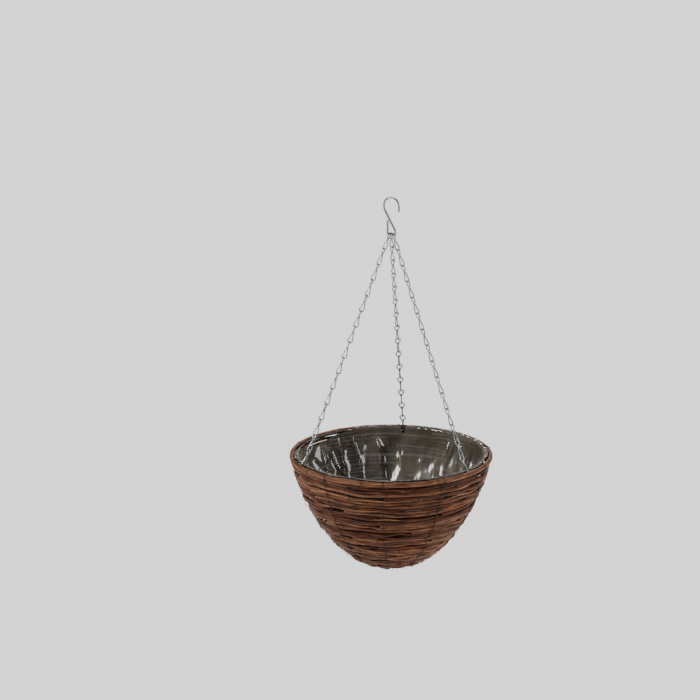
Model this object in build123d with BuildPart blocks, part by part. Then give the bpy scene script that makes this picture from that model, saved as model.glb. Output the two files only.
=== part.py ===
"""Wicker hanging basket: a round bowl of wire-bound rods, hung by three jack chains from one hook.

Millimetres, +Z up. The origin is the point inside the hook's crook that bears on the bracket, and
the basket hangs plumb below it. Azimuths are plan angles, counter-clockwise from +X.
"""

import os
from math import acos, atan2, cos, degrees, hypot, radians, sin, sqrt, tan

from build123d import *

os.makedirs("parts", exist_ok=True)

# --- Hook: one bent wire, with an open crook above and a closed eye below ---------------------
hook_azimuth = -30.0  # plan direction of the plane that the wire is bent in
hook_wire = 3.8
crook_radius = 12.5  # inside of the crook
tip_leg = 9.0  # straight free end of the crook
crook_to_stem = 2.5  # straight wire before the stem turns in under the crook
stem_lean = 31.0  # degrees between the stem and the plumb line
stem_bend = 16.0  # centre-line radius at the top of the stem
shoulder_bend = 5.0  # centre-line radius where the stem becomes the eye's side
eye_side_gap = 0.75  # from the outer links to the eye's sides
eye_corner = 2.2  # centre-line radius of the eye's lower corners
eye_side = 8.0  # from the stem's lower corner down to the eye's bar
eye_gap = 0.4  # between the wire's cut end and the stem

# --- Chains: single jack chain, a round loop above and a long loop below, square to each other --
chain_azimuths = {"back": 82.0, "left": 202.0, "right": 322.0}
# Places of the top links along the eye's bar, in link spacings.
eye_order = {"back": -0.15, "left": -1.0, "right": 1.0}
link_count = 15
link_wire = 2.2
link_length = 30.8  # between the wire centres at the link's two ends
ring_radius = 4.6  # centre-line radius of the upper loop
ring_length = 12.3  # from the upper loop's wire centre down to the neck
tail_radius = 3.9  # centre-line radius of the lower loop
neck_gap = 0.1  # between the two legs of one loop at the neck
neck_overlap = 1.3  # how far each loop's legs run past the middle of the neck
link_side_gap = 0.08  # between two top links on the eye's bar, over and above their lean
link_lean_share = 0.75  # how much of the upper loop's sideways lean the top links stand apart
link_play = 0.12  # between two hooked links of one chain
pivot_play = 0.3  # where a link hooks on a piece that it moves against
eye_play = 0.5  # between a top link and the eye's bar, which the leaning links cross askew

# --- Bowl ---------------------------------------------------------------------------------
bowl_radius = 170.5  # axis to the centre of the rim rod
bowl_depth = 196.0  # level of the rim rod's centre down to the bowl curve's lowest point
wall_power = 2.11  # a higher power keeps the wall upright for longer
floor_power = 1.295  # a higher power makes the floor flatter
rim_rod_diameter = 9.0
first_rod_diameter = 5.5  # course next to the rim rod
rod_growth = 0.03  # each course's rods are thicker than the last by this
rods_per_course = 2
rod_end_gap = 1.5
joint_turn = 67.0  # degrees between the rod ends of one course and those of the next
base_opening_radius = 46.0  # no course's centre comes nearer to the axis than this

# --- Wire hoops and bindings -----------------------------------------------------------------
hoop_wire = 3.5
hoop_rise = 2.0  # rim hoop's centre above the rim rod's centre
hoop_side_gap = 0.25  # spare room, beyond its play, for the link between hoop and rim rod
binding_count = 10
first_binding_azimuth = 264.5
binding_wire = 0.9
binding_play = 0.25
binding_gap = 0.4  # between the two wires of a pair where they pass each other
hoop_tie_gap = 0.6  # between a hoop tie and the binding pair beside it

# --- Base coil -------------------------------------------------------------------------------
coil_rod_diameter = 6.5
coil_gap = 0.8  # between the coil's turns
cross_turn = 9.0  # degrees from the first binding to the first base band
cross_gap = 0.4  # between the two base bands where they cross

# --- Liner -----------------------------------------------------------------------------------
liner_thickness = 0.8
liner_play = 0.75
liner_slit_side = 3.6  # from a chain's last link to each side of its slit in the liner's edge
liner_slit_depth = 13.0

# --- Sizes that follow from those above -----------------------------------------------------------
# From the rim rod's centre in to the rim hoop's: a chain's last link stands between the two.
hoop_setback = (rim_rod_diameter + hoop_wire) / 2 + link_wire + 2 * pivot_play + hoop_side_gap
hoop_radius = bowl_radius - hoop_setback
# Every chain is link_count links long, so the chain's length sets how far the rim hangs below.
top_reach = (hook_wire + link_wire) / 2 + eye_play
foot_reach = (hoop_wire + link_wire) / 2 + pivot_play
link_pitch = link_length - link_wire - link_play
chain_span = (link_count - 1) * link_pitch + link_length - (pivot_play - link_play)
hang_length = chain_span - top_reach - foot_reach
hang_drop = sqrt(hang_length**2 - hoop_radius**2)  # from the eye's bar down to the rim hoop
# The more the chains lean out to the rim, the wider their top links stand apart on the bar.
link_lean = ring_radius * link_lean_share * hoop_radius / hang_drop
link_spacing = link_wire + link_lean + link_side_gap
eye_width = 2 * (link_spacing + eye_side_gap) + link_wire + hook_wire  # between its centre-lines
row_gap = binding_wire + 2 * binding_play  # between two courses, where the binding wires pass
binding_offset = (binding_wire + binding_gap) / 2  # each wire to one side of the pair's plane
hoop_tie_offset = binding_offset + binding_wire + hoop_tie_gap  # beside its binding pair
cross_step = binding_wire + cross_gap  # the second base band stands outside the first by this


def upright_plane(azimuth, sideways=0.0):
    """The vertical plane through the Z axis whose local x runs out along the azimuth."""
    a = radians(azimuth)
    return Plane(
        origin=(-sideways * sin(a), sideways * cos(a), 0),
        x_dir=(cos(a), sin(a), 0),
        z_dir=(sin(a), -cos(a), 0),
    )


def save(part, label):
    part.label = label
    export_step(part, f"parts/{label}.step")


# --- The hook ---------------------------------------------------------------------------------
crook_line = crook_radius + hook_wire / 2
crook_centre = -crook_radius
stem_corner = crook_centre - crook_to_stem - stem_bend * tan(radians(stem_lean / 2))
shoulder_corner = stem_corner - (crook_line + eye_width / 2) / tan(radians(stem_lean))
bar_height = shoulder_corner - eye_side
lean = radians(stem_lean)
# The cut end stops where the gap to the leaning stem is eye_gap.
stem_reach = (crook_line - eye_width / 2) / tan(lean)
cut_height = stem_corner - stem_reach - (hook_wire + eye_gap) / sin(lean)

with BuildPart() as suspension_hook:
    with BuildLine(upright_plane(hook_azimuth)) as hook_line:
        tip = Line((crook_line, crook_centre - tip_leg), (crook_line, crook_centre))
        crook = ThreePointArc(tip @ 1, (0, crook_centre + crook_line), (-crook_line, crook_centre))
        FilletPolyline(
            crook @ 1,
            (-crook_line, stem_corner),
            (eye_width / 2, shoulder_corner),
            (eye_width / 2, bar_height),
            (-eye_width / 2, bar_height),
            (-eye_width / 2, cut_height),
            radius=[stem_bend, shoulder_bend, eye_corner, eye_corner],
        )
    with BuildSketch(Plane(origin=hook_line.line @ 0, z_dir=hook_line.line % 0)):
        Circle(hook_wire / 2)
    sweep()
save(suspension_hook.part, "suspension_hook")

# --- Where the chains hang ----------------------------------------------------------------------
neck_half_gap = (link_wire + neck_gap) / 2
hoop_height = bar_height - hang_drop
rim_height = hoop_height - hoop_rise

bar_direction = Vector(cos(radians(hook_azimuth)), sin(radians(hook_azimuth)), 0)


def loop_path(radius, top, neck):
    """An open loop in local x and y: two legs side by side through the neck, and a round far end."""
    way = 1 if neck > top else -1
    knee = neck - way * 2 * neck_overlap
    centre = abs(knee - top) - radius
    # The legs are tangent to the round end and turn parallel to the axis at the knee.
    spread = hypot(centre, neck_half_gap)
    turn = acos(radius / spread) + atan2(neck_half_gap, centre)
    side = (radius * sin(turn), knee - way * (centre - radius * cos(turn)))
    with BuildLine() as path:
        Polyline((neck_half_gap, neck), (neck_half_gap, knee), side)
        ThreePointArc(side, (0, top), (-side[0], side[1]))
        Polyline((-side[0], side[1]), (-neck_half_gap, knee), (-neck_half_gap, neck))
    return path.line


def wire_loop(plane, radius, top, neck):
    """The loop's wire, with its x in the plane's x and its length along the plane's y."""
    path = plane * loop_path(radius, top, neck)
    with BuildPart() as loop:
        with BuildSketch(Plane(origin=path @ 0, z_dir=path % 0)):
            Circle(link_wire / 2)
        sweep(path=path, transition=Transition.RIGHT)
    return loop.part


# One link, hanging along -Z from the wire centre of its upper loop. The upper loop lies in the
# XZ plane and the lower one in the YZ plane.
ring_plane = Plane(origin=(0, 0, 0), x_dir=(1, 0, 0), z_dir=(0, 1, 0))
tail_plane = Plane(origin=(0, 0, 0), x_dir=(0, 1, 0), z_dir=(-1, 0, 0))
upper_loop = wire_loop(ring_plane, ring_radius, 0, ring_length + neck_overlap)
lower_loop = wire_loop(tail_plane, tail_radius, link_length, ring_length - neck_overlap)
with BuildPart() as link:
    add(upper_loop)
    add(lower_loop)


def chain_frames(name):
    """A plane for each link: its z runs up the chain, and its y is square to the upper loop."""
    a = radians(chain_azimuths[name])
    start = bar_direction * (link_spacing * eye_order[name]) + Vector(0, 0, bar_height)
    foot = Vector(hoop_radius * cos(a), hoop_radius * sin(a), hoop_height)
    down = (foot - start).normalized()
    span = (foot - start).length + top_reach + foot_reach
    pitch = (span - link_length + (pivot_play - link_play)) / (link_count - 1)
    square_top = (bar_direction - down * bar_direction.dot(down)).normalized()
    tangent = Vector(-sin(a), cos(a), 0)
    square_foot = down.cross((tangent - down * tangent.dot(down)).normalized())
    twist = atan2(square_top.cross(square_foot).dot(down), square_top.dot(square_foot))
    twist -= radians(180) * round(twist / radians(180))
    frames = []
    for i in range(link_count):
        play = (pivot_play - link_play) if i > 0 else 0
        origin = start + down * (i * pitch - play - top_reach)
        part_turn = twist * i / (link_count - 1)
        square = square_top * cos(part_turn) + down.cross(square_top) * sin(part_turn)
        frames.append(Plane(origin=origin, x_dir=square.cross(-down), z_dir=-down))
    return frames


for name in chain_azimuths:
    frames = chain_frames(name)
    with BuildPart() as top_link:
        with Locations(frames[0]):
            add(link.part)
    save(top_link.part, f"top_link_{name}")
    with BuildPart() as chain:
        with Locations(*frames[1:]):
            add(link.part)
    save(chain.part, f"chain_{name}")


# --- Rods of the bowl ---------------------------------------------------------------------------
def curve_height(radius):
    """Height of the bowl's rod centres at a distance from the axis."""
    return rim_height - bowl_depth * (1 - (radius / bowl_radius) ** wall_power) ** (1 / floor_power)


def next_centre(radius, step):
    """Distance from the axis of the point one straight step further down the bowl curve."""
    near, far = 0.0, radius
    for _ in range(60):
        middle = (near + far) / 2
        if hypot(radius - middle, curve_height(radius) - curve_height(middle)) > step:
            near = middle
        else:
            far = middle
    return far


courses = []
centre_radius = bowl_radius
previous_diameter = rim_rod_diameter
diameter = first_rod_diameter
while True:
    step = (previous_diameter + diameter) / 2 + row_gap
    centre_radius = next_centre(centre_radius, step)
    if centre_radius < base_opening_radius:
        break
    courses.append((centre_radius, curve_height(centre_radius), diameter))
    previous_diameter = diameter
    diameter += rod_growth

base_hoop_radius = next_centre(courses[-1][0], (courses[-1][2] + hoop_wire) / 2 + row_gap)
base_hoop_height = curve_height(base_hoop_radius)


def rod_ring(radius, height, thickness, rods, first_joint):
    """Rods laid end to end round the bowl, with a small gap at each joint."""
    end_gap_angle = degrees(rod_end_gap / radius) if rods > 1 else 0
    with BuildPart() as ring:
        for i in range(rods):
            with BuildSketch(upright_plane(first_joint + i * 360 / rods)):
                with Locations((radius, height)):
                    Circle(thickness / 2)
            revolve(axis=Axis.Z, revolution_arc=360 / rods - end_gap_angle)
    return ring.part


save(rod_ring(bowl_radius, rim_height, rim_rod_diameter, 1, 0), "rim_rod")
save(rod_ring(hoop_radius, hoop_height, hoop_wire, 1, 0), "rim_hoop")
save(rod_ring(base_hoop_radius, base_hoop_height, hoop_wire, 1, 0), "base_hoop")
for number, (radius, height, thickness) in enumerate(courses, 1):
    ring = rod_ring(radius, height, thickness, rods_per_course, number * joint_turn)
    save(ring, f"rod_course_{number:02d}")

# --- Base coil: one rod wound flat, in half circles that each shrink by half a turn's pitch ------
coil_height = base_hoop_height
coil_pitch = coil_rod_diameter + coil_gap
coil_radius = base_hoop_radius - hoop_wire / 2 - row_gap - coil_rod_diameter / 2
half_turns = 1 + int((coil_radius - 0.62 * coil_rod_diameter) / (coil_pitch / 2))
with BuildPart() as base_coil:
    with BuildLine(Plane.XY.offset(coil_height)) as coil_line:
        for i in range(half_turns):
            centre_x = 0 if i % 2 == 0 else -coil_pitch / 2
            CenterArc((centre_x, 0), coil_radius - i * coil_pitch / 2, 180 * (i % 2), 180)
    with BuildSketch(Plane(origin=coil_line.line @ 0, z_dir=coil_line.line % 0)):
        Circle(coil_rod_diameter / 2)
    sweep()
save(base_coil.part, "base_coil")

# --- Binding wires ------------------------------------------------------------------------------
# Ten pairs run from the rim rod down to the base hoop. At each course one wire of the pair passes
# outside the rod and the other inside, and they change sides in the gap below it.
crossings = [(bowl_radius, rim_height, rim_rod_diameter), *courses]
crossings.append((base_hoop_radius, base_hoop_height, hoop_wire))


def binding_path(first_side):
    """Points of one wire: its start, then for each crossing a point beside the rod and one below."""
    stand_off = binding_play + binding_wire / 2
    points = []
    last = len(crossings) - 1
    for i, (radius, height, thickness) in enumerate(crossings):
        here = Vector(radius, height)
        after = Vector(*crossings[min(i + 1, last)][:2])
        before = Vector(*crossings[max(i - 1, 0)][:2])
        along = (after - before).normalized()
        outward = Vector(-along.Y, along.X)
        reach = thickness / 2 + stand_off
        side = first_side if i % 2 == 0 else -first_side
        if i == 0:
            points.append(here - along * reach)
        points.append(here + outward * (side * reach))
        if i == last:
            points.append(here + along * reach)
        else:
            step = (after - here).normalized()
            points.append(here + step * (thickness / 2 + row_gap / 2))
    return points


with BuildPart() as binding_wires:
    for i in range(binding_count):
        azimuth = first_binding_azimuth + i * 360 / binding_count
        for side in (1, -1):
            points = binding_path(side)
            with BuildLine(upright_plane(azimuth, side * binding_offset)) as wire_line:
                for start, beside, end in zip(points[0::2], points[1::2], points[2::2]):
                    ThreePointArc((start.X, start.Y), (beside.X, beside.Y), (end.X, end.Y))
            with BuildSketch(Plane(origin=wire_line.line @ 0, z_dir=wire_line.line % 0)):
                Circle(binding_wire / 2)
            sweep(path=wire_line.line, transition=Transition.ROUND)
save(binding_wires.part, "binding_wires")


def belt(plane, big, big_radius, small, small_radius):
    """A closed wire drawn round two circles, as a belt round two pulleys."""
    run = Vector(small[0] - big[0], small[1] - big[1])
    heading = atan2(run.Y, run.X)
    lap = acos((big_radius - small_radius) / run.length)

    def on(centre, radius, angle):
        return (centre[0] + radius * cos(angle), centre[1] + radius * sin(angle))

    with BuildPart() as band:
        with BuildLine(plane) as belt_line:
            upper = Line(on(big, big_radius, heading + lap), on(small, small_radius, heading + lap))
            lower = Line(on(small, small_radius, heading - lap), on(big, big_radius, heading - lap))
            ThreePointArc(upper @ 1, on(small, small_radius, heading), lower @ 0)
            ThreePointArc(lower @ 1, on(big, big_radius, heading + radians(180)), upper @ 0)
        with BuildSketch(Plane(origin=belt_line.line @ 0, z_dir=belt_line.line % 0)):
            Circle(binding_wire / 2)
        sweep(path=belt_line.line)
    return band.part


tie_stand_off = binding_play + binding_wire / 2
ties = [
    belt(
        upright_plane(first_binding_azimuth + i * 360 / binding_count, hoop_tie_offset),
        (bowl_radius, rim_height),
        rim_rod_diameter / 2 + tie_stand_off,
        (hoop_radius, hoop_height),
        hoop_wire / 2 + tie_stand_off,
    )
    for i in range(binding_count)
]
with BuildPart() as hoop_ties:
    add(ties)
save(hoop_ties.part, "hoop_ties")

band_radius = coil_rod_diameter / 2 + tie_stand_off
bands = []
for i in range(2):
    azimuth = first_binding_azimuth + cross_turn + 90 * i
    radius = band_radius + cross_step * i
    # Each end of a band goes round the base hoop.
    reach = base_hoop_radius + hoop_wire / 2 + tie_stand_off - radius
    ends = ((reach, coil_height), (-reach, coil_height))
    bands.append(belt(upright_plane(azimuth), ends[0], radius, ends[1], radius))
with BuildPart() as base_bands:
    add(bands)
save(base_bands.part, "base_bands")

# --- Liner: a thin film bowl that stands inside the hoop and the bindings -------------------------
liner_radius = hoop_radius - hoop_wire / 2 - binding_play - binding_wire - liner_play
liner_floor = coil_height + band_radius + cross_step + binding_wire / 2 + liner_play
liner_top = rim_height + rim_rod_diameter / 2
liner_depth = liner_top - liner_floor
slit_width = link_wire + 2 * liner_slit_side
profile_steps = 14


def liner_profile(radius, depth):
    """Points from the edge down to the axis, on the same kind of curve as the bowl's."""
    points = []
    for i in range(profile_steps + 1):
        turn = radians(90 * i / profile_steps)
        share = cos(turn) ** (2 / wall_power)
        drop = depth * (1 - share**wall_power) ** (1 / floor_power)
        points.append((radius * share if i < profile_steps else 0, liner_top - drop))
    return points


with BuildPart() as liner:
    with BuildSketch(Plane.XZ):
        with BuildLine():
            outer = Spline(*liner_profile(liner_radius, liner_depth))
            inner = Spline(
                *liner_profile(liner_radius - liner_thickness, liner_depth - liner_thickness)
            )
            Line(outer @ 0, inner @ 0)
            Line(outer @ 1, inner @ 1)
        make_face()
    revolve(axis=Axis.Z)
    for azimuth in chain_azimuths.values():
        a = radians(azimuth)
        edge = Plane(
            origin=(liner_radius * cos(a), liner_radius * sin(a), liner_top),
            x_dir=(cos(a), sin(a), 0),
            z_dir=(0, 0, 1),
        )
        with BuildSketch(edge):
            SlotOverall(4 * slit_width, slit_width)
        extrude(amount=-liner_slit_depth, mode=Mode.SUBTRACT)
save(liner.part, "liner")

print(f"courses {len(courses)}, bar {bar_height:.2f}, hoop {hoop_radius:.2f} at {hoop_height:.2f}")
print(f"rim {rim_height:.2f}, base hoop {base_hoop_radius:.2f} at {base_hoop_height:.2f}")
print(f"coil {coil_height:.2f}, liner {liner_radius:.2f}, {liner_top:.2f} to {liner_floor:.2f}")
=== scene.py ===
"""Looks of the hanging basket: stained rods bound with wire, a gathered film liner, zinc chains.

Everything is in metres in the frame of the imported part, with +Z up.
"""

import math

import bpy
import numpy as np
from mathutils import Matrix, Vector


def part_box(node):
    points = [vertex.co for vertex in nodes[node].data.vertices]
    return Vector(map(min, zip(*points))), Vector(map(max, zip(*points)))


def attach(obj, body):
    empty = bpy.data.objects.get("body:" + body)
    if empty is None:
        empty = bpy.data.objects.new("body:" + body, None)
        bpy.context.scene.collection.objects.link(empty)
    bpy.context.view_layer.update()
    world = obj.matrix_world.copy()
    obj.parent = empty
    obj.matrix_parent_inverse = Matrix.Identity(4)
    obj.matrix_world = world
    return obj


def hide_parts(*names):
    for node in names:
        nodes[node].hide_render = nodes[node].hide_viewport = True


TURN = 2 * math.pi
rng = np.random.default_rng(24)

# --- Camera -------------------------------------------------------------------------------------
camera = bpy.data.objects.new("camera", bpy.data.cameras.new("camera"))
bpy.context.scene.collection.objects.link(camera)
bpy.context.scene.camera = camera
view_rise = math.radians(16.07)
view_distance = 9.98
aim_x, aim_z = -0.0705, -0.2676
camera.data.lens = 300
camera.data.sensor_width = 36
camera.data.clip_start = 0.05
camera.data.clip_end = 200
camera.location = (
    aim_x,
    -view_distance * math.cos(view_rise),
    aim_z + view_distance * math.sin(view_rise),
)
camera.rotation_euler = (math.pi / 2 - view_rise, 0, 0)

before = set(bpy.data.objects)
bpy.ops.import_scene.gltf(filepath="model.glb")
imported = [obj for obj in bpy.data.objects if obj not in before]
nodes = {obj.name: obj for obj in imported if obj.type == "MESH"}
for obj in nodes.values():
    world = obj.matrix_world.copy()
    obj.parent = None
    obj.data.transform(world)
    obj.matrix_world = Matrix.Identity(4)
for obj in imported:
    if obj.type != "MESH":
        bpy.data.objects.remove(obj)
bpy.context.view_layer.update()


# --- Materials ----------------------------------------------------------------------------------
def colour(code):
    """Linear RGBA of an sRGB hex code."""
    parts = [int(code[i : i + 2], 16) / 255 for i in (1, 3, 5)]
    linear = [p / 12.92 if p <= 0.04045 else ((p + 0.055) / 1.055) ** 2.4 for p in parts]
    return (*linear, 1.0)


def add_node(tree, kind, inputs=None, stops=(), **settings):
    """A shader node with its settings, and each input given a value or linked to a socket.

    stops are a colour ramp's places, each with its hex colour.
    """
    made = tree.nodes.new("ShaderNode" + kind)
    for name, value in settings.items():
        setattr(made, name, value)
    for name, value in (inputs or {}).items():
        if isinstance(value, bpy.types.NodeSocket):
            tree.links.new(value, made.inputs[name])
        else:
            made.inputs[name].default_value = value
    if stops:
        elements = made.color_ramp.elements
        while len(elements) < len(stops):
            elements.new(0.5)
        for element, (where, code) in zip(elements, stops):
            element.position = where
            element.color = colour(code)
    return made


def new_material(name):
    """A material with its node tree and its shader."""
    material = bpy.data.materials.new(name)
    material.use_nodes = True
    tree = material.node_tree
    return material, tree, tree.nodes["Principled BSDF"]


def metal_material(name, dark, light, roughness, grain, metallic=1.0):
    """Metal whose tone and gloss vary in small patches, with grain patches per metre."""
    material, tree, shader = new_material(name)
    place = add_node(tree, "TexCoord").outputs["Object"]
    patches = add_node(
        tree, "TexNoise", {"Vector": place, "Scale": grain, "Detail": 4.0, "Roughness": 0.6}
    ).outputs["Fac"]
    tone = add_node(tree, "ValToRGB", {"Fac": patches}, stops=((0.3, dark), (0.7, light)))
    tree.links.new(tone.outputs["Color"], shader.inputs["Base Color"])
    gloss = add_node(
        tree,
        "MapRange",
        {
            "Value": patches,
            "From Min": 0.3,
            "From Max": 0.7,
            "To Min": roughness + 0.1,
            "To Max": roughness - 0.05,
        },
    )
    tree.links.new(gloss.outputs["Result"], shader.inputs["Roughness"])
    fine = add_node(tree, "TexNoise", {"Vector": place, "Scale": grain * 6, "Detail": 2.0})
    bump = add_node(
        tree, "Bump", {"Height": fine.outputs["Fac"], "Strength": 0.25, "Distance": 0.0001}
    )
    tree.links.new(bump.outputs["Normal"], shader.inputs["Normal"])
    shader.inputs["Metallic"].default_value = metallic
    return material


def rod_material(name):
    """Stained peeled rods: streaks along the length, dark patches, bare spots and pale cut ends.

    The UV map holds metres along the rod and metres round it. The point attributes are tone, one
    value for each rod, knot, which rises at the joints of the stem, and cut, 1 on sawn ends.
    """
    material, tree, shader = new_material(name)
    uv = add_node(tree, "UVMap", uv_map="surface").outputs["UV"]
    tone, knot, cut = (
        add_node(tree, "Attribute", attribute_name=attribute).outputs["Fac"]
        for attribute in ("tone", "knot", "cut")
    )
    by_tone = add_node(tree, "CombineXYZ", {"X": tone, "Y": tone}).outputs["Vector"]
    shifted = add_node(tree, "VectorMath", {0: uv, 1: by_tone}, operation="ADD").outputs["Vector"]

    # Three noises, each with its marks per metre along and round the rod: streaks of 36 by 1.6 mm,
    # patches of 45 by 11 mm where the stain took darker, and bare spots of 110 by 7 mm.
    layers = []
    for per_metre, detail, roughness in (
        ((28.0, 620.0, 1.0), 5.0, 0.62),
        ((22.0, 90.0, 1.0), 3.0, 0.55),
        ((9.0, 140.0, 1.0), 4.0, 0.7),
    ):
        scaled = add_node(tree, "Mapping", {"Vector": shifted, "Scale": per_metre})
        settings = {"Scale": 1.0, "Detail": detail, "Roughness": roughness}
        noise = add_node(tree, "TexNoise", {"Vector": scaled.outputs["Vector"], **settings})
        layers.append(noise.outputs["Fac"])
    streaks, patches, bare = layers

    # How much of the lighter rods' colours, of the dark patches and of the bare spots shows.
    shares = []
    for source, low, high, most in (
        (tone, 0.35, 1.0, 0.9),
        (patches, 0.5, 0.72, 0.8),
        (bare, 0.6, 0.72, 0.8),
    ):
        ends = {"From Min": low, "From Max": high, "To Min": 0.0, "To Max": most}
        shares.append(add_node(tree, "MapRange", {"Value": source, **ends}).outputs["Result"])

    dark_rods = ((0.28, "#0e0401"), (0.45, "#301406"), (0.6, "#5a2d14"), (0.78, "#926848"))
    light_rods = ((0.25, "#241006"), (0.45, "#5c341c"), (0.62, "#8a6347"), (0.8, "#cdb08c"))
    bark, lighter = (
        add_node(tree, "ValToRGB", {"Fac": streaks}, stops=stops).outputs["Color"]
        for stops in (dark_rods, light_rods)
    )
    for share, over in (
        (shares[0], lighter),
        (shares[1], colour("#0f0603")),
        (shares[2], colour("#9c7a52")),
        (knot, colour("#0d0502")),
        (cut, colour("#5e3c1a")),
    ):
        mix = add_node(tree, "Mix", {"Factor": share, "A": bark, "B": over}, data_type="RGBA")
        bark = mix.outputs["Result"]
    tree.links.new(bark, shader.inputs["Base Color"])

    ends = {"From Min": 0.3, "From Max": 0.7, "To Min": 0.42, "To Max": 0.68}
    gloss = add_node(tree, "MapRange", {"Value": streaks, **ends})
    tree.links.new(gloss.outputs["Result"], shader.inputs["Roughness"])
    ridges = add_node(tree, "Bump", {"Height": streaks, "Strength": 0.55, "Distance": 0.0006})
    tree.links.new(ridges.outputs["Normal"], shader.inputs["Normal"])
    shader.inputs["Specular IOR Level"].default_value = 0.14
    return material


def film_material(name):
    """Polythene film, glossy on its creases and dusty in patches of about 90 mm between them."""
    material, tree, shader = new_material(name)
    place = add_node(tree, "TexCoord").outputs["Object"]
    dust = add_node(
        tree, "TexNoise", {"Vector": place, "Scale": 11.0, "Detail": 3.0, "Roughness": 0.5}
    ).outputs["Fac"]
    stops = ((0.3, "#3f3930"), (0.55, "#544d42"), (0.75, "#6d6659"))
    tone = add_node(tree, "ValToRGB", {"Fac": dust}, stops=stops)
    tree.links.new(tone.outputs["Color"], shader.inputs["Base Color"])
    ends = {"From Min": 0.3, "From Max": 0.7, "To Min": 0.09, "To Max": 0.24}
    gloss = add_node(tree, "MapRange", {"Value": dust, **ends})
    tree.links.new(gloss.outputs["Result"], shader.inputs["Roughness"])
    # Fine crinkles about 14 mm apart.
    crinkle = add_node(
        tree, "TexNoise", {"Vector": place, "Scale": 70.0, "Detail": 2.0, "Distortion": 1.5}
    ).outputs["Fac"]
    bump = add_node(tree, "Bump", {"Height": crinkle, "Strength": 0.16, "Distance": 0.0008})
    tree.links.new(bump.outputs["Normal"], shader.inputs["Normal"])
    shader.inputs["Alpha"].default_value = 0.86
    shader.inputs["IOR"].default_value = 1.5
    return material


# Hot-dip zinc on bent wire: mid grey and satin, in spangles of about 2 mm.
hook_zinc = metal_material("hook_galvanised_bent_wire", "#66686a", "#9b9d9e", 0.34, 420.0)
# Electroplated zinc: brighter and smoother than the hook.
chain_zinc = metal_material("chain_zinc_plated_wire", "#6c6e70", "#abadae", 0.28, 600.0)
# Annealed tying wire: dull brown-black scale, drawn coarser than it is, about 1 mm.
tie_steel = metal_material("binding_annealed_steel_wire", "#1e1916", "#3d3732", 0.55, 900.0, 0.8)
# Painted hoops: near black, with a soft sheen.
hoop_steel = metal_material("hoop_dark_painted_wire", "#171412", "#2c2622", 0.46, 300.0, 0.35)
# Peeled willow, boiled and stained: red-brown, streaked with tan, and almost matt.
stained_rods = rod_material("rods_peeled_and_stained_brown")
# Thin polythene: brown-grey, a little see-through, with sharp white glints on its folds.
liner_film = film_material("liner_polythene_film_gathered")

cad_looks = {
    "suspension_hook": (hook_zinc, "galvanised_wire"),
    "rim_hoop": (hoop_steel, "dark_hoop_wire"),
    "base_hoop": (hoop_steel, "dark_hoop_wire"),
    "hoop_ties": (tie_steel, "binding_wire"),
    "base_bands": (tie_steel, "binding_wire"),
}
for side in ("left", "right", "back"):
    cad_looks["top_link_" + side] = (chain_zinc, "zinc_chain")
    cad_looks["chain_" + side] = (chain_zinc, "zinc_chain")
for name, (material, slot) in cad_looks.items():
    nodes[name].data.materials.clear()
    nodes[name].data.materials.append(material)


# --- Meshes -------------------------------------------------------------------------------------
class Pile:
    """Vertices, faces, UVs and point attributes of one piece, added to grid by grid."""

    def __init__(self):
        self.points, self.faces, self.uvs, self.values = [], [], [], []
        self.count = 0

    def add(self, points, faces, uvs, values):
        """Adds faces by their own point numbers, a UV for each corner and values for each point."""
        self.points.append(points)
        self.faces += [tuple(int(v) + self.count for v in face) for face in faces]
        self.uvs.append(uvs)
        self.values.append(values)
        self.count += len(points)

    def build(self, name, material, attributes=()):
        """The piece's object, at the origin, with its UV map and a point attribute per column."""
        mesh = bpy.data.meshes.new(name)
        mesh.from_pydata(np.concatenate(self.points).tolist(), [], self.faces)
        mesh.uv_layers.new(name="surface").data.foreach_set(
            "uv", np.concatenate(self.uvs).astype(np.float32).ravel()
        )
        values = np.concatenate(self.values)
        for column, attribute in enumerate(attributes):
            made = mesh.attributes.new(attribute, "FLOAT", "POINT")
            made.data.foreach_set("value", values[:, column].astype(np.float32))
        mesh.polygons.foreach_set("use_smooth", np.ones(len(mesh.polygons), bool))
        mesh.materials.append(material)
        mesh.update()
        made = bpy.data.objects.new(name, mesh)
        bpy.context.scene.collection.objects.link(made)
        return made


def smooth_step(value):
    """3 v^2 - 2 v^3 of a value held between 0 and 1."""
    value = np.clip(value, 0, 1)
    return value * value * (3 - 2 * value)


def lengths_along(line):
    """The length of a line of points up to each point."""
    return np.concatenate([[0], np.cumsum(np.linalg.norm(np.diff(line, axis=0), axis=1))])


def directions_along(line):
    """The unit vector along a line at each point, from the points before and after it."""
    ahead = np.gradient(line, axis=0)
    return ahead / np.linalg.norm(ahead, axis=1)[:, None]


def grid_squares(rows, columns):
    """The squares of a grid that closes round, and the row i and column j of each first corner.

    A square's corners are (i, j), (i + 1, j), (i + 1, j + 1) and (i, j + 1).
    """
    i, j = np.meshgrid(np.arange(rows - 1), np.arange(columns), indexing="ij")
    i, j = i.ravel(), j.ravel()
    k = (j + 1) % columns
    corners = ((i, j), (i + 1, j), (i + 1, k), (i, k))
    return np.stack([row * columns + column for row, column in corners], 1), i, j


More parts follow.
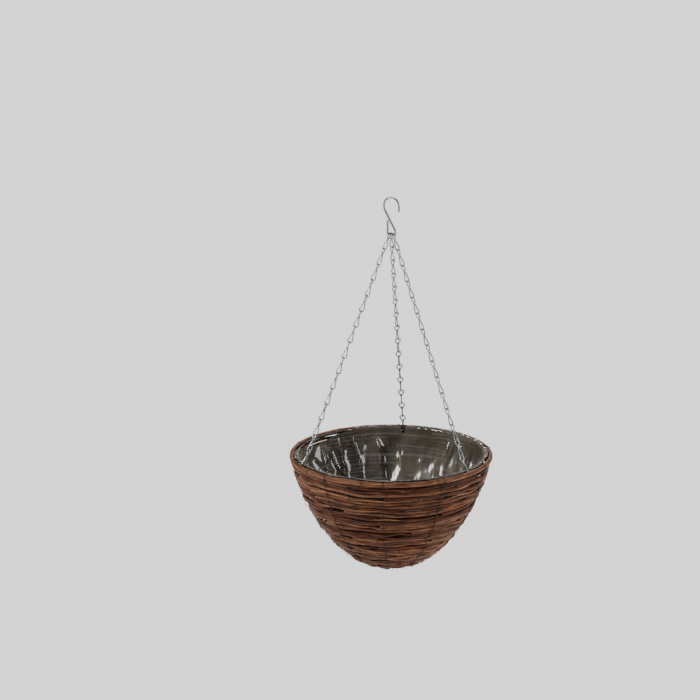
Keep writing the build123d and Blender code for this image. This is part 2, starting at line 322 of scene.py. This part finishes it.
def add_tube(pile, line, side_a, side_b, radius, tone=0.0, knots=None, around=14):
    """A tube round a line: each ring's points stand radius * (cos * side_a + sin * side_b) off it.

    radius is one value per ring, or one per ring and point. Each end closes with a flat cut face.
    """
    rings = len(line)
    angle = np.arange(around) / around * TURN
    radius = np.asarray(radius, float)
    if radius.ndim == 1:
        radius = np.repeat(radius[:, None], around, 1)
    points = line[:, None, :] + radius[:, :, None] * (
        np.cos(angle)[None, :, None] * side_a[:, None, :]
        + np.sin(angle)[None, :, None] * side_b[:, None, :]
    )
    length = lengths_along(line)
    girth = TURN * radius.mean()
    squares, i, j = grid_squares(rings, around)
    along = np.stack([length[i], length[i + 1], length[i + 1], length[i]], 1)
    across = np.stack([j, j, j + 1, j + 1], 1) / around * girth
    uvs = np.stack([along, across], -1).reshape(-1, 2)
    knot = np.zeros(rings) if knots is None else knots
    values = np.stack(
        [np.full(rings * around, tone), np.repeat(knot, around), np.zeros(rings * around)], 1
    )
    pile.add(points.reshape(-1, 3), squares, uvs, values)
    for end, order in ((0, 1), (rings - 1, -1)):
        rim = np.concatenate([points[end], line[end][None]])
        j = np.arange(around)
        fan = np.stack([np.full(around, around), (j + 1) % around, j], 1)[:, ::order]
        flat = np.stack([np.cos(angle), np.sin(angle)], 1) * radius[end].mean()
        flat = np.concatenate([flat, [[0.0, 0.0]]])
        cut = np.stack([np.full(around + 1, tone), np.zeros(around + 1), np.ones(around + 1)], 1)
        pile.add(rim, fan, flat[fan].reshape(-1, 2), cut)


def wander(angles, size, low, high):
    """Smooth noise round a circle: sines of low to high waves a turn, with random phases.

    A wave's weight falls as one over the root of its frequency, and size is the noise's root mean
    square.
    """
    waves = np.arange(low, high + 1)
    weights = rng.normal(size=len(waves)) / waves**0.5
    phases = rng.uniform(0, TURN, len(waves))
    value = (weights[:, None] * np.sin(waves[:, None] * angles[None, :] + phases[:, None])).sum(0)
    return size * value / np.sqrt((weights**2).sum() / 2)


# --- The bowl's curve ---------------------------------------------------------------------------
def ring_of(name):
    """Centre-line radius, height and thickness of a ring-shaped CAD node."""
    low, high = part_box(name)
    thickness = high.z - low.z
    return max(high.x, high.y, -low.x, -low.y) - thickness / 2, (high.z + low.z) / 2, thickness


course_names = sorted(n for n in nodes if n.startswith("rod_course_"))
courses = [ring_of(n) for n in course_names]
rim_radius, rim_height, rim_thickness = ring_of("rim_rod")
_, base_height, base_thickness = ring_of("base_hoop")
hoop_radius, hoop_height, _ = ring_of("rim_hoop")
bowl_depth = 0.196
wall_power = 2.11  # a higher power keeps the wall upright for longer
floor_power = 1.295  # a higher power makes the floor flatter


def curve_points(count, top_radius, top, depth):
    """Radii and heights of the bowl's curve, from the rim to the middle of the floor.

    r = R cos(t)^(2/w) and z = top - depth (1 - (r/R)^w)^(1/f), where w is the wall's power and f
    the floor's, and t runs from 0 to a quarter turn.
    """
    turn = np.linspace(0, math.pi / 2, count)
    radius = top_radius * np.cos(turn) ** (2 / wall_power)
    share = (1 - (radius / top_radius) ** wall_power) ** (1 / floor_power)
    return radius, top - depth * share


curve_radius, curve_height = curve_points(4000, rim_radius, rim_height, bowl_depth)
curve_length = lengths_along(np.stack([curve_radius, curve_height], 1))
slope_reach = 0.002


def on_bowl(length, outward, angle):
    """Points at a length down the curve, an outward distance off it and an angle round the axis.

    Also gives the outward and the down-slope unit vectors there, from the curve's slope between
    points a small reach before and after.
    """
    radius = np.interp(length, curve_length, curve_radius)
    height = np.interp(length, curve_length, curve_height)
    d_radius, d_height = (
        np.interp(length + slope_reach, curve_length, values)
        - np.interp(length - slope_reach, curve_length, values)
        for values in (curve_radius, curve_height)
    )
    step = np.hypot(d_radius, d_height)
    d_radius, d_height = d_radius / step, d_height / step
    c, s = np.cos(angle), np.sin(angle)
    out = np.stack([-d_height * c, -d_height * s, d_radius], -1)
    down = np.stack([d_radius * c, d_radius * s, d_height], -1)
    points = np.stack([radius * c, radius * s, height], -1) + outward[..., None] * out
    return points, out, down


# --- Rods: where each one lies, worked out for all of them together -----------------------------
# Two rods make a course. Each tapers to a thin tip, which laps past the thick end of the next one.
steps = 1440  # places round the bowl
angles = np.arange(steps) / steps * TURN
joint_turn = math.radians(67)  # from the joints of one course to those of the next
lap_angle = (0.25, 0.75)  # how far a tip laps past, in radians
start_play = 0.1  # how far a thick end may start early, in radians
size_share = (0.8, 1.1)  # real rods' thickness against the even CAD course's
course_wander = 0.0021  # how far a rod strays up and down the slope
depth_wander = 0.0008  # how far it strays in and out
tuck = 0.0012  # how far in its thick end starts, under the last one's tip


def rod_taper(u):
    """Share of a rod's thickness at u, 0 to 1 along it.

    It falls evenly from 1.06 by 0.16, and by a further 62 % over the last quarter, to the tip.
    """
    return (1.06 - 0.16 * u) * (1 - 0.62 * smooth_step((u - 0.76) / 0.24))


rods = []
for number, (_, height, thickness) in enumerate(courses, 1):
    where = np.interp(-height, -curve_height, curve_length)
    for half in range(2):
        span = math.pi + rng.uniform(*lap_angle)
        start = number * joint_turn + half * math.pi - rng.uniform(0.0, start_play)
        nominal = thickness / 2 * rng.uniform(*size_share)
        u = ((angles - start) % TURN) / span
        rods.append(
            {
                "course": number - 1,
                "start": start,
                "span": span,
                "u": u,
                "nominal": nominal,
                "size": np.where(u <= 1, nominal * rod_taper(u), 0.0),
                "want": where + wander(angles, course_wander, 3, 18),
            }
        )


def smoothed(values, reach):
    """Values round the circle averaged with Gaussian weights, whose reach is in steps.

    Each of the values' waves of k turns a step is multiplied by exp(-2 (pi k reach)^2).
    """
    k = np.fft.rfftfreq(values.shape[-1])
    return np.fft.irfft(
        np.fft.rfft(values) * np.exp(-2 * (math.pi * k * reach) ** 2), values.shape[-1]
    )


# Each rod's room, widened a little past its ends. Rods that are too near push each other away down
# and up the slope, and their lines are smoothed between rounds, so that none cuts into another.
least_gap = 0.0001
push_share = 0.48
past_end, room_reach = 14, 8  # in steps
rounds, smooth_every, smooth_until, smooth_reach = 400, 50, 350, 7
room = np.stack([r["size"] for r in rods])
widened = np.maximum(np.roll(room, past_end, 1), np.roll(room, -past_end, 1))
room = np.maximum(smoothed(np.maximum(room, widened), room_reach), 0)
room = np.vstack([np.full(steps, rim_thickness / 2), room, np.full(steps, base_thickness / 2)])
base_length = np.interp(-base_height, -curve_height, curve_length)
lengths = np.vstack(
    [np.zeros(steps), np.stack([r["want"] for r in rods]), np.full(steps, base_length)]
)
for sweep in range(rounds):
    short = room[1:] + room[:-1] + least_gap - np.diff(lengths, axis=0)
    push = np.maximum(short, 0) * push_share
    lengths[:-1] -= push
    lengths[1:] += push
    lengths[0] = 0.0
    lengths[-1] = base_length
    if sweep % smooth_every == smooth_every - 1 and sweep < smooth_until:
        lengths[1:-1] = smoothed(lengths[1:-1], smooth_reach)

for index, rod in enumerate(rods):
    rod["length"] = lengths[index + 1]
    inward = tuck * (1 - smooth_step(rod["u"] / 0.06))
    rod["off"] = wander(angles, depth_wander, 4, 20) - inward
    rod["tone"] = rng.uniform(0, 1)


ring_step = 0.0014


def rod_tube(pile, rod):
    """One rod of a course, with stem joints that swell and turn it a little, and small lumps.

    A joint is a hill exp(-(d / w)^2) on the radius, and a lump is a sine along and round the rod.
    """
    radius = courses[rod["course"]][0]
    rings = max(int(rod["span"] * radius / ring_step), 60)
    u = np.linspace(0, 1, rings)
    angle = rod["start"] + u * rod["span"]
    along = u * rod["span"] * radius

    def at(values):
        return np.interp(angle % TURN, np.append(angles, TURN), np.append(values, values[0]))

    swell, knots, kick = np.zeros(rings), np.zeros(rings), np.zeros(rings)
    position = rng.uniform(0.01, 0.06)
    while position < along[-1]:
        near = (along - position) / rng.uniform(0.0022, 0.004)
        swell += rng.uniform(0.04, 0.13) * np.exp(-(near**2))
        knots = np.maximum(knots, rng.uniform(0.25, 0.8) * np.exp(-((near * 1.9) ** 2)))
        kick += rng.normal() * 0.00022 * np.exp(-((near / 4) ** 2))
        position += rng.uniform(0.045, 0.12)
    line, out, down = on_bowl(at(rod["length"]) + kick, at(rod["off"]), angle)
    around = 14
    ring = np.arange(around) / around * TURN
    lumps = np.zeros((rings, around))
    for _ in range(5):
        lumps += rng.uniform(0.004, 0.012) * np.sin(
            along[:, None] * TURN / rng.uniform(0.012, 0.07)
            + rng.integers(1, 4) * ring[None, :]
            + rng.uniform(0, TURN)
        )
    size = rod["nominal"] * rod_taper(u)[:, None] * (1 + swell[:, None] + lumps)
    add_tube(pile, line, out, down, size, rod["tone"], knots, around)


for course, name in enumerate(course_names):
    pile = Pile()
    for rod in rods:
        if rod["course"] == course:
            rod_tube(pile, rod)
    piece = pile.build(f"stained_rods_{course + 1:02d}", stained_rods, ("tone", "knot", "cut"))
    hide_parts(name)
    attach(piece, "basket")


def stem_joints(along, positions, reach, rise, dark):
    """Swelling and darkness at stem joints: a hill exp(-(d / reach)^2) at each.

    d is the length from the joint along the rod, and the dark hills are half as wide.
    """
    swell, knots = np.zeros(len(along)), np.zeros(len(along))
    for position in positions:
        near = (along - position) / reach
        swell += rise * np.exp(-(near**2))
        knots = np.maximum(knots, dark * np.exp(-((near * 2) ** 2)))
    return swell, knots


def even_lumps(along, ring, size, phase, waves):
    """Lumps on a thick rod: the sum of size * sin(2 pi s / w + k a + phase w) over waves w, k."""
    return sum(
        size * np.sin(along[:, None] * TURN / w + k * ring[None, :] + w * phase) for w, k in waves
    )


# Rim rod: one thick rod bent round, with its two sawn ends butted at the back left.
rings, around = 900, 18
gap = 0.0006 / rim_radius
start = math.radians(148)
angle = np.linspace(start, start + TURN - gap, rings)
line, out, down = on_bowl(np.zeros(rings), wander(angle, 0.00012, 3, 9), angle)
along = (angle - angle[0]) * rim_radius
ring = np.arange(around) / around * TURN
positions = np.arange(0.05, along[-1], 0.135)
positions = positions + rng.uniform(-0.02, 0.02, len(positions))
swell, knots = stem_joints(along, positions, 0.005, 0.035, 0.5)
lumps = even_lumps(along, ring, 0.006, 900, ((0.031, 2), (0.052, 1), (0.083, 3), (0.019, 1)))
size = rim_thickness / 2 * (0.99 + swell[:, None] + lumps)
pile = Pile()
add_tube(pile, line, out, down, size, 0.82, knots, around)
piece = pile.build("stained_rim_rod", stained_rods, ("tone", "knot", "cut"))
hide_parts("rim_rod")
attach(piece, "basket")

# Base coil: a rod wound flat. Each half turn is a half circle, half a pitch smaller than the last.
low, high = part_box("base_coil")
coil_thickness = high.z - low.z
coil_height = (high.z + low.z) / 2
coil_radius = high.x - coil_thickness / 2
coil_pitch = 0.0073
line = []
half_turns = 1 + int((coil_radius - 0.62 * coil_thickness) / (coil_pitch / 2))
for i in range(half_turns):
    radius = coil_radius - i * coil_pitch / 2
    bend = np.linspace(0, math.pi, max(10, int(radius / 0.0005)), endpoint=False)
    bend += math.pi * (i % 2)
    centre = -coil_pitch / 2 * (i % 2)
    line.append(np.stack([centre + radius * np.cos(bend), radius * np.sin(bend)], 1))
line = np.concatenate(line)
line = np.column_stack([line, np.full(len(line), coil_height)])
upward = np.tile([0.0, 0.0, 1.0], (len(line), 1))
sideways = np.cross(directions_along(line), upward)
along = lengths_along(line)
around = 14
ring = np.arange(around) / around * TURN
lumps = even_lumps(along, ring, 0.008, 700, ((0.027, 2), (0.044, 1), (0.071, 3), (0.016, 1)))
positions = np.arange(0.03, along[-1], 0.07)
positions = positions + rng.uniform(-0.01, 0.01, len(positions))
swell, knots = stem_joints(along, positions, 0.003, 0.05, 0.6)
taper = 1.03 - 0.12 * along / along[-1]
size = coil_thickness / 2 * (taper[:, None] + swell[:, None] + lumps)
pile = Pile()
add_tube(pile, line, upward, sideways, size, 0.45, knots, around)
piece = pile.build("stained_base_coil", stained_rods, ("tone", "knot", "cut"))
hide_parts("base_coil")
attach(piece, "basket")

# --- Binding wires: ten pairs, laced down over the rods where they really lie -------------------
wire = 0.0009
pairs = 10
first_pair = math.radians(264.5)
beside_pair = 0.00055  # each wire to one side of the pair's plane
wire_play = 0.0001
end_reach = wire * 0.8  # how far a pair's loops stand past the rim rod and the base hoop
wrap_points = 13
pile = Pile()
for pair in range(pairs):
    azimuth = first_pair + pair * TURN / pairs
    column = int(round(azimuth % TURN / TURN * steps)) % steps
    # What the wires pass: its middle and half width down the slope, and how far off it reaches.
    stops = [(0.0, rim_thickness / 2, rim_thickness / 2)]
    for course in range(len(courses)):
        here = [r for r in rods if r["course"] == course and r["size"][column] > 0]
        top = min(r["length"][column] - r["size"][column] for r in here)
        bottom = max(r["length"][column] + r["size"][column] for r in here)
        thick = max(r["size"][column] + abs(r["off"][column]) for r in here)
        stops.append(((top + bottom) / 2, (bottom - top) / 2, thick * 1.05))
    stops.append((base_length, base_thickness / 2, base_thickness / 2))
    tops = [centre - half for centre, half, _ in stops]
    bottoms = [centre + half for centre, half, _ in stops]
    for side in (1, -1):
        at, off = [], []
        for i, (_, _, thick) in enumerate(stops):
            last_stop = i + 1 == len(stops)
            first = (bottoms[i - 1] + tops[i]) / 2 if i else tops[i] - end_reach
            last = bottoms[i] + end_reach if last_stop else (tops[i + 1] + bottoms[i]) / 2
            t = np.linspace(0, 1, wrap_points, endpoint=last_stop)
            way = side if i % 2 == 0 else -side
            # A blunt hill over each rod, (1 - |2 t - 1|^2.6)^(1/2.2), in front or behind by turns.
            hug = (1 - np.abs(2 * t - 1) ** 2.6) ** (1 / 2.2)
            at.append(first + (last - first) * t)
            off.append(way * (thick + wire / 2 + wire_play) * hug)
        at, off = np.concatenate(at), np.concatenate(off)
        beside = side * beside_pair / np.maximum(np.interp(at, curve_length, curve_radius), 0.03)
        line, _, _ = on_bowl(at, off, azimuth + beside)
        level = np.tile([-math.sin(azimuth), math.cos(azimuth), 0.0], (len(line), 1))
        off_plane = np.cross(level, directions_along(line))
        add_tube(pile, line, off_plane, level, np.full(len(line), wire / 2), around=8)
piece = pile.build("laced_binding_wires", tie_steel)
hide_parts("binding_wires")
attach(piece, "basket")

# --- Liner: a round of film gathered into the bowl ----------------------------------------------
low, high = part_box("liner")
film_radius = (high.x - low.x) / 2
film_depth = high.z - low.z
film_gauge = 0.0002
folds, crease_lines = 52, 34
below_rim = 0.006  # the film's own curve starts this far down
film_r, film_z = curve_points(3000, film_radius, high.z - below_rim, film_depth - 0.0065)
# Above the bowl the film stands up inside the hoop, goes over it and lies on the rim rod.
over = np.linspace(math.pi, math.radians(62), 60)
over_hoop = 0.0037
on_rim = np.linspace(math.radians(112), math.radians(15), 60)
over_rim = 0.0062
path_r = np.concatenate(
    [film_r[::-1], hoop_radius + over_hoop * np.cos(over), rim_radius + over_rim * np.cos(on_rim)]
)
path_z = np.concatenate(
    [film_z[::-1], hoop_height + over_hoop * np.sin(over), rim_height + over_rim * np.sin(on_rim)]
)
path_length = lengths_along(np.stack([path_r, path_z], 1))
edge_here = path_length[len(film_r) - 1]

# The trimmed edge wanders: short of the hoop at the back left, well over the rim at the front.
columns, rows = 560, 84
theta = np.arange(columns) / columns * TURN
past_hoop = 0.0085
edge = edge_here + past_hoop + 0.0055 + wander(theta, 0.0016, 3, 24) + wander(theta, 0.0003, 25, 90)


def degrees_from(centre):
    """Angle of each column from an azimuth, in degrees from -180 to 180."""
    return (np.degrees(theta) - centre + 180) % 360 - 180


def bump_at(centre, width, rise):
    """A smooth hill round an azimuth: rise * exp(-(angle / width)^2)."""
    return rise * np.exp(-((degrees_from(centre) / width) ** 2))


edge += bump_at(266, 6, 0.006) + bump_at(332, 8, 0.005) + bump_at(300, 5, 0.003)
edge -= bump_at(142, 26, 0.019)
edge = np.minimum(edge, path_length[-1])
# A slit lets each chain's last link through to the hoop.
slit_half = math.degrees(0.0031 / film_radius)
slit_blend = 0.7
slit_depth = 0.0045
for azimuth in (82, 202, 322):
    slit = smooth_step((slit_half + slit_blend - np.abs(degrees_from(azimuth))) / slit_blend)
    edge = edge * (1 - slit) + (edge_here - slit_depth) * slit

# The last row lies close to the one before it, which keeps the trimmed edge crisp.
grow = np.append(np.linspace(0, 0.999, rows - 1) ** 0.85, 1.0)
s = np.maximum(edge[None, :] * grow[:, None], 0.0006)
radius = np.interp(s, path_length, path_r)
height = np.interp(s, path_length, path_z)
slope_r, slope_z = (
    np.interp(s + 0.001, path_length, values) - np.interp(s - 0.001, path_length, values)
    for values in (path_r, path_z)
)
size = np.hypot(slope_r, slope_z)
in_r, in_z = -slope_z / size, slope_r / size  # towards the inside of the bowl

# Folds lean and fade on the way down. Their crests are sharp and the film between them bellies.
wall = smooth_step((s - 0.05) / 0.08) * (1 - smooth_step((s - edge_here + 0.03) / 0.028))
inward = np.zeros_like(s)
for _ in range(folds):
    centre = rng.uniform(0, TURN)
    drift = rng.normal() * 0.12
    reach = rng.uniform(0.06, 0.2)
    width = rng.uniform(0.0014, 0.0042)
    tall = rng.uniform(0.002, 0.0095)
    middle = centre + drift * (edge_here - s) / 0.2 + 0.02 * np.sin(s * 45 + centre * 7)
    apart = ((theta[None, :] - middle + math.pi) % TURN - math.pi) * np.maximum(radius, 0.02)
    fade = smooth_step((s - (edge_here - reach)) / 0.04)
    inward += tall * fade * np.exp(-np.abs(apart) / width)
belly = sum(
    rng.uniform(0.0006, 0.0016) * np.sin(n * theta[None, :] + 14 * s + rng.uniform(0, TURN))
    for n in (5, 8, 11, 17, 23)
)
# Creases from the film's folding, straight lines across the flat round, bent a little.
creases = np.zeros_like(s)
flat_x, flat_y = s * np.cos(theta[None, :]), s * np.sin(theta[None, :])
for _ in range(crease_lines):
    a, phase = rng.uniform(0, math.pi), rng.uniform(0, TURN)
    wave = TURN / rng.uniform(0.022, 0.09)
    line_at = flat_x * math.cos(a) + flat_y * math.sin(a)
    bent = line_at + 0.006 * np.sin(flat_y * 31 + flat_x * 17 + phase)
    creases += rng.uniform(0.0001, 0.00035) * (1 - np.abs(np.sin(bent * wave / 2 + phase)) * 1.6)
floor_share = 1 - smooth_step((s - 0.05) / 0.05)
lift = (inward + belly - 0.0022) * wall + creases * (0.35 + 0.65 * wall)
lift = np.where(s > edge_here - 0.004, creases * 0.25, lift)
lift += np.abs(creases) * 0.4 * floor_share
fade_edge = smooth_step((s - edge_here + 0.004) / 0.012)
lift += fade_edge * np.maximum(wander(theta, 0.0003, 20, 90)[None, :], -0.0002)
radius = radius + in_r * lift
height = height + in_z * lift
points = np.stack([radius * np.cos(theta), radius * np.sin(theta), height], -1)
# The rows run outwards, so the squares turn the other way, and a fan closes the floor's middle.
squares = grid_squares(rows, columns)[0][:, [0, 3, 2, 1]]
uvs = np.stack([flat_x.ravel()[squares], flat_y.ravel()[squares]], -1).reshape(-1, 2)
hub = rows * columns
fan = [(hub, (a + 1) % columns, a) for a in range(columns)]
pile = Pile()
pile.add(
    np.concatenate([points.reshape(-1, 3), [[0.0, 0.0, points[0, :, 2].mean()]]]),
    [*squares, *fan],
    np.concatenate([uvs, np.zeros((columns * 3, 2))]),
    np.zeros((hub + 1, 1)),
)
piece = pile.build("gathered_film_liner", liner_film)
solid = piece.modifiers.new("thickness", "SOLIDIFY")
solid.thickness = film_gauge
solid.offset = 0
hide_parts("liner")
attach(piece, "basket")

# --- Studio -------------------------------------------------------------------------------------
reach, level = 60.0, -6.2  # well below the basket, as where it hangs high
corners = [(x * reach, y * reach, level) for x, y in ((-1, -1), (1, -1), (1, 1), (-1, 1))]
mesh = bpy.data.meshes.new("floor")
mesh.from_pydata(corners, [], [(0, 1, 2, 3)])
floor = bpy.data.objects.new("floor", mesh)
bpy.context.scene.collection.objects.link(floor)
paper, tree, shader = new_material("floor_white_paper")
shader.inputs["Base Color"].default_value = colour("#f4f4f4")
shader.inputs["Roughness"].default_value = 0.9
shader.inputs["Emission Color"].default_value = colour("#ffffff")
shader.inputs["Emission Strength"].default_value = 1.25
mesh.materials.append(paper)

world = bpy.data.worlds.new("studio")
bpy.context.scene.world = world
world.use_nodes = True
world.node_tree.nodes["Background"].inputs["Color"].default_value = colour("#ffffff")
world.node_tree.nodes["Background"].inputs["Strength"].default_value = 0.36


basket_middle = (0, 0, -0.5)


def soft_light(name, place, size, power):
    """A square area light that looks at the basket's middle."""
    lamp = bpy.data.lights.new(name, "AREA")
    lamp.size = size
    lamp.energy = power
    made = bpy.data.objects.new(name, lamp)
    bpy.context.scene.collection.objects.link(made)
    made.location = place
    x, y, z = np.array(place) - np.array(basket_middle)
    made.rotation_euler = (math.atan2(math.hypot(x, y), z), 0, math.atan2(x, -y))


soft_light("key", (-2.3, -0.9, 1.3), 0.9, 108)
soft_light("fill", (2.4, -0.7, 0.4), 1.2, 48)
soft_light("back", (0.6, 2.2, 1.2), 1.0, 30)
